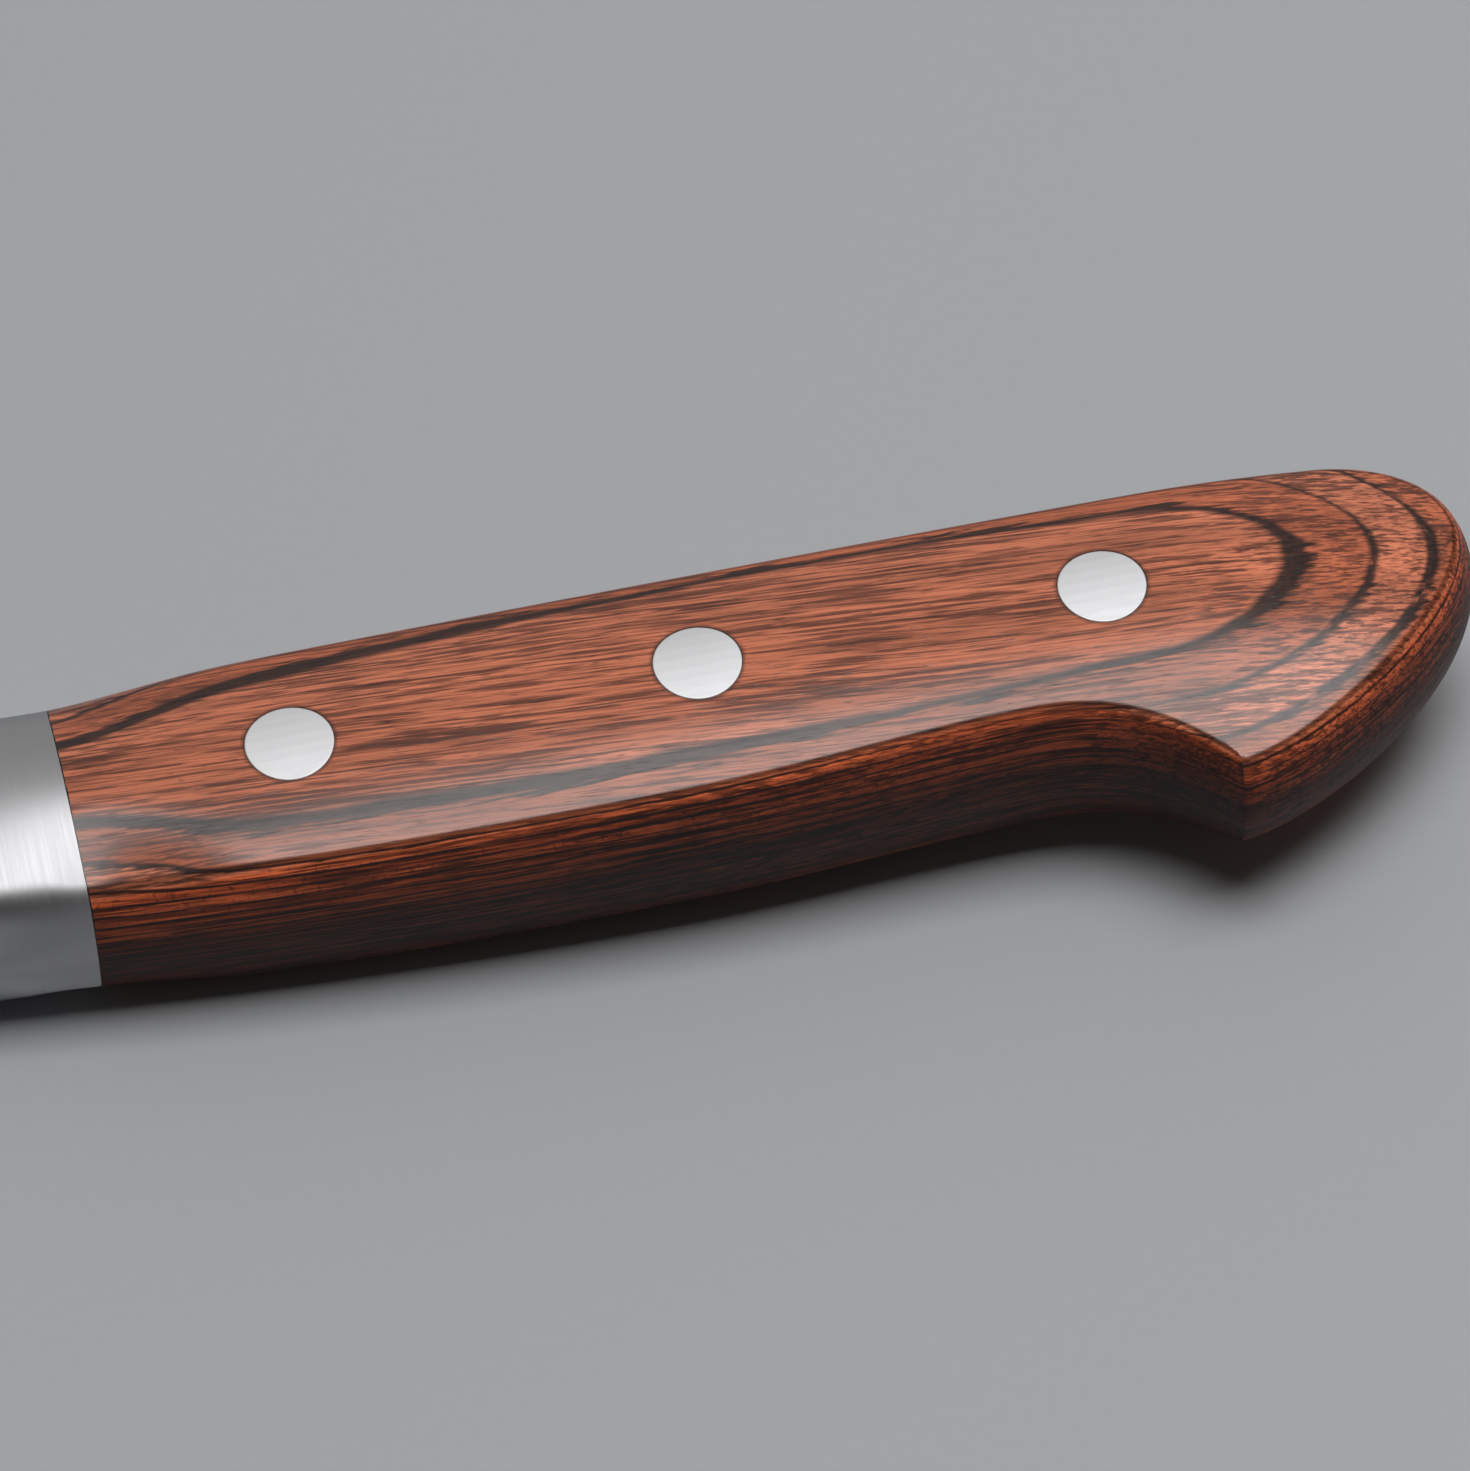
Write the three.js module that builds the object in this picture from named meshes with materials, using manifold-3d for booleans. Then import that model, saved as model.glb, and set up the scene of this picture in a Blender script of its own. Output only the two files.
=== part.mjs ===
// Nakiri knife with a western riveted handle.
// A three-layer blade blank runs back as a tang into a slot sawn in the spine of a
// one-piece laminated-wood handle. Two bolster halves sit either side of the neck, and
// three two-part rivets hold the tang.
// Millimetres, +Z up. The knife lies flat: +X points to the butt, +Y to the spine and
// +Z out of the left face. While modelling, x = 0 is the joint between bolster and wood,
// y = 0 the line of the rivets and z = 0 the middle plane of the blade.

import * as THREE from 'three';
import { mergeVertices } from 'three/addons/utils/BufferGeometryUtils.js';
import Module from 'manifold-3d';

// Blade
const bladeLength = 165; // heel to front, along the edge
const bladeHeight = 48; // spine to edge at the heel
const bladeThickness = 1.8; // over the two flats
const coreThickness = 0.6; // hard middle layer
const grindHeight = 20; // edge to the top of the bevel
const grindThickness = 0.32; // steel left at the foot of the bevel
const sharpenedHeight = 0.8; // last narrow bevel at the edge
const edgeThickness = 0.06; // flat left on the edge itself
const edgeRise = 1.8; // lift of the edge at the front
const edgeRiseRun = 48; // length over which it lifts
const frontCornerRadius = 13; // between spine and front
const heelCornerRadius = 1.2;
const neckLength = 7; // bolster to heel
const choilRadius = 5; // inner corner between neck and heel

// Tang
const tangDepth = 6; // below the line of the rivets
const tangEndMargin = 9; // beyond the rear rivet
const tangEndRadius = 2.5;
const tangRecess = 0.06; // below the wood along the spine
const slotClearance = 0.1;

// Bolster
const bolsterLength = 19;
const bolsterShoulder = 8; // full section next to the wood
const bolsterLip = 0.5; // left standing over the blade at the front
const neckBellyDepth = 8.8; // below the rivets at the front of the bolster

// Handle outline, heights and depths measured from the line of the rivets
const handleLength = 112; // joint to butt
const spineFront = 11.35; // at the joint
const spineRear = 10.55; // at the butt shoulder
const buttShoulder = 10.1; // butt end to the start of the rounded butt
const buttCentre = 1.8; // height of the rearmost point
const beakSetback = 23.3; // butt end to the point of the beak
const beakDepth = 18.5;
const grooveReach = 14.5; // beak to the top of the finger groove
const grooveDepth = 11.1;
const bellyReach = 29; // finger groove to the fullest point of the belly
const bellyDepth = 12.4;
const jointBellyDepth = 10.5;

// Handle section
const handleThickness = 17.2;
const lengthCrownRadius = 2700; // long slow curve of the faces
const buttCrownRadius = 116; // faces falling away to the butt
const buttCrownStart = 26; // in front of the butt end
const crownAxis = 0.7; // height of the ridge of the face
const crownSlope = 0.28; // fall of the face at its edges
const crownWidth = 7.8; // softness of the ridge
const jointCrownSlope = 0.4;
const jointCrownWidth = 5;
const jointCrownRun = 14; // length over which the rounder joint section fades
const wallBulge = 1.3; // at the middle plane, out from the edges of the faces
const edgeRadius = 1.4;
const buttEdgeRadius = 0.7; // crisper edges at beak and butt
const jointBellyRadius = 3.2; // rounder edges next to the bolster
const jointSpineRadius = 2;
const jointEdgeRun = 45; // length over which they tighten

// Rivets
const rivetHead = 7; // diameter
const rivetHeadDepth = 2.6; // at the middle of the head
const rivetBarrel = 4.8; // outer diameter of the socket
const rivetPin = 3; // diameter of the post
const frontRivetSetback = 17.55; // from the joint
const rearRivetSetback = 30.15; // from the butt end
const rivetClearance = 0.1; // round heads, barrels and pins
const rivetEndGap = 0.3; // at the ends of barrels and pins
const headRoot = 0.5; // how far a shank reaches into its head

// Pull of the outline's curves as they leave and arrive, in shares of the stretch they span
const bellyPull = [0.3, 0.38];
const groovePull = [0.4, 0.3];
const beakPull = [0.45, 0.29];
const beakHook = 0.6; // how steeply the groove comes down on the beak
const beakLift = 0.035; // rise of the outline behind the beak
const buttPull = [0.3, 0.5];
const shoulderPull = [0.5, 0.66];
const shoulderFall = 0.05; // fall of the spine where the butt starts to round

// Facets
const roundSides = 32;
const arcSteps = 10;
const outlineSteps = [10, 14, 10, 10, 18, 12, 16, 10]; // along each stretch of the outline
const roundingSteps = 4;
const wallShare = 0.55; // height of the ring halfway up the wall
const faceShares = [0.3, 0.62, 0.9]; // rings between the edge of a face and its ridge

const wasm = await Module();
wasm.setup();

const colours = {
  core: { color: 0xc9ccce, roughness: 0.18, metalness: 1 },
  cladding: { color: 0xb4b7ba, roughness: 0.34, metalness: 1 },
  bolster: { color: 0xb9babc, roughness: 0.3, metalness: 1 },
  rivet: { color: 0xc6c7c8, roughness: 0.36, metalness: 1 },
  wood: { color: 0x8a4526, roughness: 0.32, metalness: 0 },
};

// Positions along the knife
const neckX = -bolsterLength;
const heelX = neckX - neckLength;
const frontX = heelX - bladeLength;
const frontRivetX = frontRivetSetback;
const rearRivetX = handleLength - rearRivetSetback;
const middleRivetX = (frontRivetX + rearRivetX) / 2;
const tangEndX = rearRivetX + tangEndMargin;
const shoulderX = handleLength - buttShoulder;
const beakX = handleLength - beakSetback;
const grooveX = beakX - grooveReach;
const bellyX = grooveX - bellyReach;
const edgeY = spineY(neckX) - bladeHeight;
const halfBlade = bladeThickness / 2;
const halfCore = coreThickness / 2;

function spineY(x) {
  return THREE.MathUtils.lerp(spineFront, spineRear, x / shoulderX);
}

function bolsterBellyY(x) {
  return THREE.MathUtils.lerp(-jointBellyDepth, -neckBellyDepth, x / neckX);
}

// Solids

function toSolid(geometry) {
  const bare = geometry.clone();
  bare.deleteAttribute('normal');
  bare.deleteAttribute('uv');
  const merged = mergeVertices(bare, 1e-5);
  const vertProperties = new Float32Array(merged.attributes.position.array);
  const triVerts = new Uint32Array(merged.index.array);
  return new wasm.Manifold(new wasm.Mesh({ numProp: 3, vertProperties, triVerts }));
}

function toGeometry(solid) {
  const mesh = solid.getMesh();
  const geometry = new THREE.BufferGeometry();
  geometry.setAttribute('position', new THREE.BufferAttribute(mesh.vertProperties, 3));
  geometry.setIndex(new THREE.BufferAttribute(mesh.triVerts, 1));
  geometry.computeVertexNormals();
  return geometry;
}

function box(min, max) {
  const size = new THREE.Vector3().subVectors(max, min);
  const centre = new THREE.Vector3().addVectors(min, max).multiplyScalar(0.5);
  const geometry = new THREE.BoxGeometry(size.x, size.y, size.z);
  geometry.translate(centre.x, centre.y, centre.z);
  return toSolid(geometry);
}

function rod(x, diameter, z0, z1) {
  const geometry = new THREE.CylinderGeometry(diameter / 2, diameter / 2, z1 - z0, roundSides);
  geometry.rotateX(Math.PI / 2);
  geometry.translate(x, 0, (z0 + z1) / 2);
  return toSolid(geometry);
}

function slab(shape, z0, z1) {
  const geometry = new THREE.ExtrudeGeometry(shape, {
    depth: z1 - z0,
    bevelEnabled: false,
    curveSegments: arcSteps,
  });
  geometry.translate(0, 0, z0);
  return toSolid(geometry);
}

// Closed skin through rings of equal length. Each ring runs out along an axis and back,
// and the two end rings are closed by zipping the way out to the way back.
function loft(rings, axis) {
  const count = rings[0].length;
  const positions = rings.flat().flatMap((p) => [p.x, p.y, p.z]);
  const faces = [];
  for (let k = 0; k < rings.length - 1; k += 1) {
    for (let i = 0; i < count; i += 1) {
      const a = k * count + i;
      const b = k * count + ((i + 1) % count);
      faces.push(a, b, b + count, a, b + count, a + count);
    }
  }
  const last = (rings.length - 1) * count;
  for (const [p, q, r] of zipFaces(rings[0], axis)) faces.push(r, q, p);
  for (const [p, q, r] of zipFaces(rings.at(-1), axis)) faces.push(last + p, last + q, last + r);
  const geometry = new THREE.BufferGeometry();
  geometry.setAttribute('position', new THREE.Float32BufferAttribute(positions, 3));
  geometry.setIndex(faces);
  return geometry;
}

function zipFaces(ring, axis) {
  const faces = [];
  let out = 0;
  let back = ring.length - 1;
  while (out + 1 < back) {
    const outNext = ring[out + 1][axis] < ring[back - 1][axis];
    faces.push([out, outNext ? out + 1 : back - 1, back]);
    if (outNext) out += 1;
    else back -= 1;
  }
  return faces;
}

// Grip: the sculpted body that is cut into bolster halves, wood and rivet heads

function shapePoints(path, steps) {
  return path.curves.flatMap((curve, i) => curve.getPoints(steps[i]).slice(0, -1));
}

// Outline from the front of the bolster along the belly, round the butt and back
function gripOutline() {
  const path = new THREE.Path();
  const curveTo = (x, y, leave, arrive) => {
    const from = path.currentPoint;
    path.bezierCurveTo(from.x + leave[0], from.y + leave[1], x - arrive[0], y - arrive[1], x, y);
  };
  path.moveTo(neckX, bolsterBellyY(neckX));
  path.lineTo(0, -jointBellyDepth);
  const bellyFall = (neckBellyDepth - jointBellyDepth) / bolsterLength;
  const bellyLead = bellyX * bellyPull[0];
  curveTo(bellyX, -bellyDepth, [bellyLead, bellyLead * bellyFall], [bellyX * bellyPull[1], 0]);
  curveTo(grooveX, -grooveDepth, [bellyReach * groovePull[0], 0], [bellyReach * groovePull[1], 0]);
  const hookFall = (grooveDepth - beakDepth) * beakHook;
  curveTo(beakX, -beakDepth, [grooveReach * beakPull[0], 0], [grooveReach * beakPull[1], hookFall]);
  const beakRise = beakDepth * beakLift;
  curveTo(handleLength, buttCentre, [beakSetback * buttPull[0], beakRise], [0, beakDepth * buttPull[1]]);
  const shoulderRise = spineRear - buttCentre;
  const shoulderArrive = [-buttShoulder * shoulderPull[1], shoulderRise * shoulderFall];
  curveTo(shoulderX, spineRear, [0, shoulderRise * shoulderPull[0]], shoulderArrive);
  path.lineTo(0, spineFront);
  path.lineTo(neckX, spineY(neckX));
  return [...shapePoints(path, outlineSteps), new THREE.Vector2(neckX, spineY(neckX))];
}

// Height of the left face over the middle plane
function faceHeight(x, y) {
  const joint = 1 - THREE.MathUtils.smoothstep(x, 0, jointCrownRun);
  const slope = THREE.MathUtils.lerp(crownSlope, jointCrownSlope, joint);
  const width = THREE.MathUtils.lerp(crownWidth, jointCrownWidth, joint);
  const buttRun = Math.max(0, x - handleLength + buttCrownStart);
  const ridge = handleThickness / 2
    - (x - middleRivetX) ** 2 / (2 * lengthCrownRadius)
    - buttRun ** 2 / (2 * buttCrownRadius);
  const full = ridge - slope * (Math.hypot(width, y - crownAxis) - width);
  const lip = halfBlade + bolsterLip;
  return THREE.MathUtils.lerp(lip, full, THREE.MathUtils.smootherstep(x, neckX, -bolsterShoulder));
}

// One outline point with the direction in which the section narrows towards the ridge
function sectionAt(points, i) {
  const point = points[i];
  const before = points[Math.max(i - 1, 0)];
  const after = points[Math.min(i + 1, points.length - 1)];
  const tangent = new THREE.Vector2().subVectors(after, before).normalize();
  const ridge = new THREE.Vector2(Math.min(point.x, shoulderX), crownAxis);
  const inward = new THREE.Vector2().subVectors(ridge, point);
  const reach = inward.length();
  inward.normalize();
  const leastLean = 0.5;
  const lean = Math.max(Math.abs(tangent.cross(inward)), leastLean);
  return { point, inward, reach, lean };
}

// The left half of one section: middle plane, bulged wall, rounded edge, crowned face
function sectionProfile(section) {
  const { point, inward, reach, lean } = section;
  const at = (inset, z) => new THREE.Vector3(point.x + inward.x * inset, point.y + inward.y * inset, z);
  const top = (inset) => {
    const p = at(inset, 0);
    return at(inset, faceHeight(p.x, p.y));
  };
  const bulge = wallBulge / lean;
  const corner = top(bulge);
  const jointRadius = point.y < crownAxis ? jointBellyRadius : jointSpineRadius;
  const fade = THREE.MathUtils.smoothstep(point.x, 0, jointEdgeRun);
  const eased = THREE.MathUtils.lerp(jointRadius, edgeRadius, fade);
  const crisp = THREE.MathUtils.smoothstep(point.x, bellyX, beakX);
  const wanted = THREE.MathUtils.lerp(eased, buttEdgeRadius, crisp);
  const radius = Math.min(wanted, corner.z / 2);
  const wallTop = corner.z - radius;
  const wall = (z) => at(bulge * (z / corner.z) ** 2, z);
  const faceStart = bulge + radius / lean;
  const rounding = new THREE.QuadraticBezierCurve3(wall(wallTop), corner, top(faceStart));
  const face = (share) => top(THREE.MathUtils.lerp(faceStart, reach, share));
  return [
    wall(0),
    wall(wallTop * wallShare),
    ...rounding.getPoints(roundingSteps),
    ...faceShares.map(face),
  ];
}

function gripSolid() {
  const points = gripOutline();
  const profiles = points.map((_, i) => sectionProfile(sectionAt(points, i)));
  const upper = profiles[0].map((_, k) => profiles.map((profile) => profile[k]));
  const lower = upper.slice(1).map((ring) => ring.map((p) => new THREE.Vector3(p.x, p.y, -p.z)));
  return toSolid(loft([...lower.reverse(), ...upper], 'x'));
}

// Blade blank

function blankShape() {
  const tangTop = (x) => spineY(x) - tangRecess;
  const neckY = bolsterBellyY(neckX);
  const bladeSpine = spineY(neckX);
  const shape = new THREE.Shape();
  shape.moveTo(0, bolsterBellyY(0));
  shape.lineTo(neckX, neckY);
  shape.lineTo(heelX + choilRadius, neckY);
  shape.absarc(heelX + choilRadius, neckY - choilRadius, choilRadius, Math.PI / 2, Math.PI);
  shape.lineTo(heelX, edgeY + heelCornerRadius);
  shape.quadraticCurveTo(heelX, edgeY, heelX - heelCornerRadius, edgeY);
  shape.lineTo(frontX + edgeRiseRun, edgeY);
  shape.quadraticCurveTo(frontX + edgeRiseRun / 2, edgeY, frontX, edgeY + edgeRise);
  const cornerY = bladeSpine - frontCornerRadius;
  shape.lineTo(frontX, cornerY);
  shape.absarc(frontX + frontCornerRadius, cornerY, frontCornerRadius, Math.PI, Math.PI / 2, true);
  shape.lineTo(neckX, bladeSpine);
  shape.lineTo(0, spineY(0));
  shape.lineTo(0, tangTop(0));
  const endTop = tangTop(tangEndX);
  shape.lineTo(tangEndX - tangEndRadius, tangTop(tangEndX - tangEndRadius));
  shape.quadraticCurveTo(tangEndX, endTop, tangEndX, endTop - tangEndRadius);
  shape.lineTo(tangEndX, -tangDepth + tangEndRadius);
  shape.quadraticCurveTo(tangEndX, -tangDepth, tangEndX - tangEndRadius, -tangDepth);
  shape.lineTo(0, -tangDepth);
  shape.closePath();
  return shape;
}

// Body between the two ground bevels, following the lift of the edge at the front
function grindSolid() {
  const overrun = 5;
  const slope = (grindThickness - edgeThickness) / 2 / sharpenedHeight;
  const apex = edgeThickness / 2 / slope;
  const half = [
    [-apex, 0],
    [sharpenedHeight, grindThickness / 2],
    [grindHeight, halfBlade],
    [bladeHeight + overrun, halfBlade],
  ];
  const section = (x, lift) => {
    const right = half.map(([y, z]) => new THREE.Vector3(x, edgeY + lift + y, -z));
    const left = half.slice(1).map(([y, z]) => new THREE.Vector3(x, edgeY + lift + y, z));
    return [...right, ...left.reverse()];
  };
  const lifted = Array.from({ length: arcSteps + 1 }, (_, i) => {
    const share = 1 - i / arcSteps;
    return section(frontX + edgeRiseRun * (1 - share), edgeRise * share ** 2);
  });
  const ahead = section(frontX - overrun, edgeRise * (1 + overrun / edgeRiseRun) ** 2);
  const behind = section(tangEndX + overrun, 0);
  return toSolid(loft([ahead, ...lifted, behind], 'y'));
}

function blankLayer(z0, z1) {
  let layer = slab(blankShape(), z0, z1).intersect(grindSolid());
  for (const x of rivetPlaces) {
    layer = layer.subtract(rod(x, rivetBarrel + 2 * rivetClearance, -bladeThickness, bladeThickness));
  }
  return layer;
}

// Bolster, handle and rivets, all cut from the grip

const rivetPlaces = [frontRivetX, middleRivetX, rearRivetX];
const grip = gripSolid();
const reach = handleLength + bolsterLength;
const seatZ = (x) => faceHeight(x, 0) - rivetHeadDepth;

function bolsterHalf(side) {
  const inner = side > 0 ? halfBlade : -reach;
  const outer = side > 0 ? reach : -halfBlade;
  return grip.intersect(box(new THREE.Vector3(neckX, -reach, inner), new THREE.Vector3(0, reach, outer)));
}

function handleSolid() {
  let wood = grip.intersect(box(new THREE.Vector3(0, -reach, -reach), new THREE.Vector3(reach, reach, reach)));
  const slotHalf = halfBlade + slotClearance;
  wood = wood.subtract(box(
    new THREE.Vector3(-1, -tangDepth - slotClearance, -slotHalf),
    new THREE.Vector3(tangEndX + slotClearance, reach, slotHalf),
  ));
  for (const x of rivetPlaces) {
    const hole = rod(x, rivetBarrel + 2 * rivetClearance, -reach, reach);
    const upperSeat = rod(x, rivetHead + 2 * rivetClearance, seatZ(x), reach);
    const lowerSeat = rod(x, rivetHead + 2 * rivetClearance, -reach, -seatZ(x));
    wood = wood.subtract(hole).subtract(upperSeat).subtract(lowerSeat);
  }
  return wood;
}

// Socket half of a rivet: flush head with a hollow barrel
function rivetSocket(x) {
  const seat = seatZ(x);
  const head = grip.intersect(rod(x, rivetHead, seat, reach));
  const barrel = rod(x, rivetBarrel, -seat + rivetEndGap, seat + headRoot);
  const bore = rod(x, rivetPin + 2 * rivetClearance, -reach, seat - rivetEndGap);
  return head.add(barrel).subtract(bore);
}

// Post half: the same head with a solid pin that goes up the barrel
function rivetPost(x) {
  const seat = seatZ(x);
  const head = grip.intersect(rod(x, rivetHead, -reach, -seat));
  return head.add(rod(x, rivetPin, -seat - headRoot, seat - 2 * rivetEndGap));
}

// Assembly

const knife = new THREE.Group();

function addPart(name, solid, finish) {
  const mesh = new THREE.Mesh(toGeometry(solid), new THREE.MeshStandardMaterial(finish));
  mesh.name = name;
  knife.add(mesh);
}

addPart('core_steel', blankLayer(-halfCore, halfCore), colours.core);
const leftCladding = blankLayer(halfCore, halfBlade);
addPart('left_cladding', leftCladding, colours.cladding);
addPart('right_cladding', leftCladding.mirror([0, 0, 1]), colours.cladding);
addPart('left_bolster', bolsterHalf(1), colours.bolster);
addPart('right_bolster', bolsterHalf(-1), colours.bolster);
addPart('handle', handleSolid(), colours.wood);
['front', 'middle', 'rear'].forEach((place, i) => {
  addPart(`${place}_rivet_socket`, rivetSocket(rivetPlaces[i]), colours.rivet);
  addPart(`${place}_rivet_post`, rivetPost(rivetPlaces[i]), colours.rivet);
});

// Origin under the middle of the knife, on the surface that it lies on
const bounds = new THREE.Box3().setFromObject(knife);
const middle = bounds.getCenter(new THREE.Vector3());
knife.position.set(-middle.x, -middle.y, -bounds.min.z);

const root = new THREE.Group();
root.add(knife);

export default root;
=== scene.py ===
import math

import bmesh
import bpy
from mathutils import Matrix, Vector, kdtree
from mathutils.geometry import delaunay_2d_cdt


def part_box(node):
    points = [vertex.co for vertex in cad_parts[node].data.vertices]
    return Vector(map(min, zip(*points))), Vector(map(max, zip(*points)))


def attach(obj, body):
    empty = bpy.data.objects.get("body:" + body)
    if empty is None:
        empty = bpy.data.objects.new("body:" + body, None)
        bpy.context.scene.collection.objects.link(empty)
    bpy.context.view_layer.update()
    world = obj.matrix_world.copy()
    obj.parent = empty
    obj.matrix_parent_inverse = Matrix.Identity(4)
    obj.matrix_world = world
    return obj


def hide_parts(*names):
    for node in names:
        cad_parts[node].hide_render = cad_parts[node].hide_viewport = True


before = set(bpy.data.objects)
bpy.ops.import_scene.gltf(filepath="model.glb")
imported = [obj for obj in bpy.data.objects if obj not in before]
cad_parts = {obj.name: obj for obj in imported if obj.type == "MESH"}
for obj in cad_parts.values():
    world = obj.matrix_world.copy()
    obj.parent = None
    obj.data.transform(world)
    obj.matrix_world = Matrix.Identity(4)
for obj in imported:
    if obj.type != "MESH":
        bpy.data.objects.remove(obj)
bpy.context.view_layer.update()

scene = bpy.context.scene
mm = 0.001

# Sizes below are in millimetres from the datum: x = 0 is the joint of bolster and wood,
# y = 0 the line of the rivets and z = 0 the middle plane of the blade.
rivetLow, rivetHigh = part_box("middle_rivet_socket")
coreLow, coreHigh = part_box("core_steel")
datum = Vector((
    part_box("handle")[0].x,
    (rivetLow.y + rivetHigh.y) / 2,
    (coreLow.z + coreHigh.z) / 2,
))


def toFrame(x, y, z):
    return datum + Vector((x, y, z)) * mm


def lerp(a, b, share):
    return a + (b - a) * share


def smooth(x, low, high):
    t = min(max((x - low) / (high - low), 0), 1)
    return t * t * (3 - 2 * t)


def smoother(x, low, high):
    t = min(max((x - low) / (high - low), 0), 1)
    return t ** 3 * (t * (t * 6 - 15) + 10)


# Outline helpers: a stretch leaves out its last point, where the next one starts

def curve(start, leave, arrive, end, steps):
    a, d = Vector(start), Vector(end)
    b, c = a + Vector(leave), d - Vector(arrive)
    shares = [i / steps for i in range(steps)]
    return [
        a * (1 - t) ** 3 + b * 3 * t * (1 - t) ** 2 + c * 3 * t * t * (1 - t) + d * t ** 3
        for t in shares
    ]


def straight(start, end, steps):
    return [Vector(start).lerp(Vector(end), i / steps) for i in range(steps)]


# Arc between two angles in degrees, with both its ends
def arc(centre, radius, start, end, steps):
    angles = [math.radians(lerp(start, end, i / steps)) for i in range(steps + 1)]
    return [Vector((centre[0] + radius * math.cos(a), centre[1] + radius * math.sin(a))) for a in angles]


# Point of a rounded corner, by its share of the way
def bend(start, corner, end, share):
    return start.lerp(corner, share).lerp(corner.lerp(end, share), share)


# Mesh helpers

def addObject(name, data):
    obj = bpy.data.objects.new(name, data)
    scene.collection.objects.link(obj)
    return obj


def meshFrom(name, points, faces):
    mesh = bpy.data.meshes.new(name)
    mesh.from_pydata([toFrame(*p) for p in points], [], faces)
    mesh.validate()
    return mesh


def smoothShade(mesh, sharpAngle):
    mesh.polygons.foreach_set("use_smooth", [True] * len(mesh.polygons))
    mesh.set_sharp_from_angle(angle=math.radians(sharpAngle))


def insidePlan(x, y, loop):
    inside = False
    for (ax, ay), (bx, by) in zip(loop, loop[1:] + loop[:1]):
        if (ay > y) != (by > y) and x < ax + (y - ay) / (by - ay) * (bx - ax):
            inside = not inside
    return inside


# Fills a closed plan outline with an even net of triangles; the outline's own points come first
def fillPlan(loop, spacing, lines=()):
    points = [Vector(p) for p in loop]
    edges = [(i, (i + 1) % len(loop)) for i in range(len(loop))]
    for line in lines:
        edges += [(len(points) + i, len(points) + i + 1) for i in range(len(line) - 1)]
        points += [Vector(p) for p in line]
    near = kdtree.KDTree(len(points))
    for i, p in enumerate(points):
        near.insert(p.to_3d(), i)
    near.balance()
    clear = spacing * 0.6  # from the net to the outline and the lines
    xs, ys = [p[0] for p in loop], [p[1] for p in loop]
    columns = int((max(xs) - min(xs)) / spacing)
    rows = int((max(ys) - min(ys)) / spacing)
    for i in range(columns + 1):
        for j in range(rows + 1):
            x = min(xs) + (i + (j % 2) / 2) * spacing
            y = min(ys) + j * spacing
            if near.find((x, y, 0))[2] > clear and insidePlan(x, y, loop):
                points.append(Vector((x, y)))
    insideOnly, tolerance = 1, 1e-7
    flat, _, faces, origin, _, _ = delaunay_2d_cdt(points, edges, [], insideOnly, tolerance)
    order = sorted(range(len(flat)), key=lambda i: origin[i][0] if origin[i] else len(points))
    place = {old: new for new, old in enumerate(order)}
    return [flat[i] for i in order], [[place[i] for i in face] for face in faces]


# Quads between rings of points that follow one another
def ringWalls(ringCount, count):
    corners = [(k * count, i, (i + 1) % count) for k in range(ringCount - 1) for i in range(count)]
    return [(k + i, k + j, k + j + count, k + i + count) for k, i, j in corners]


# Mesh between rings of points, closed at both ends by nets at the heights given
def closedMesh(name, rings, spacing, lines, bottom, top):
    count = len(rings[0])
    points = [p for ring in rings for p in ring]
    faces = ringWalls(len(rings), count)
    for ring, rim, height, turn in ((rings[-1], len(points) - count, top, 1), (rings[0], 0, bottom, -1)):
        plan, net = fillPlan([p[:2] for p in ring], spacing, lines)
        start = len(points) - count
        points = points + [(p.x, p.y, height(p.x, p.y)) for p in plan[count:]]
        index = [rim + i if i < count else start + i for i in range(len(plan))]
        faces += [[index[i] for i in face][::turn] for face in net]
    return meshFrom(name, points, faces)


# Turns an object's modifiers into a plain mesh
def settle(obj):
    evaluated = obj.evaluated_get(bpy.context.evaluated_depsgraph_get())
    mesh = bpy.data.meshes.new_from_object(evaluated)
    obj.modifiers.clear()
    mesh.name, obj.data = obj.data.name, mesh


def subtract(obj, cutter):
    cut = obj.modifiers.new("cut", "BOOLEAN")
    cut.operation, cut.solver, cut.object = "DIFFERENCE", "EXACT", cutter
    settle(obj)
    bpy.data.objects.remove(cutter)


# Grip: the sculpted body that becomes bolster and wood

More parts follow.
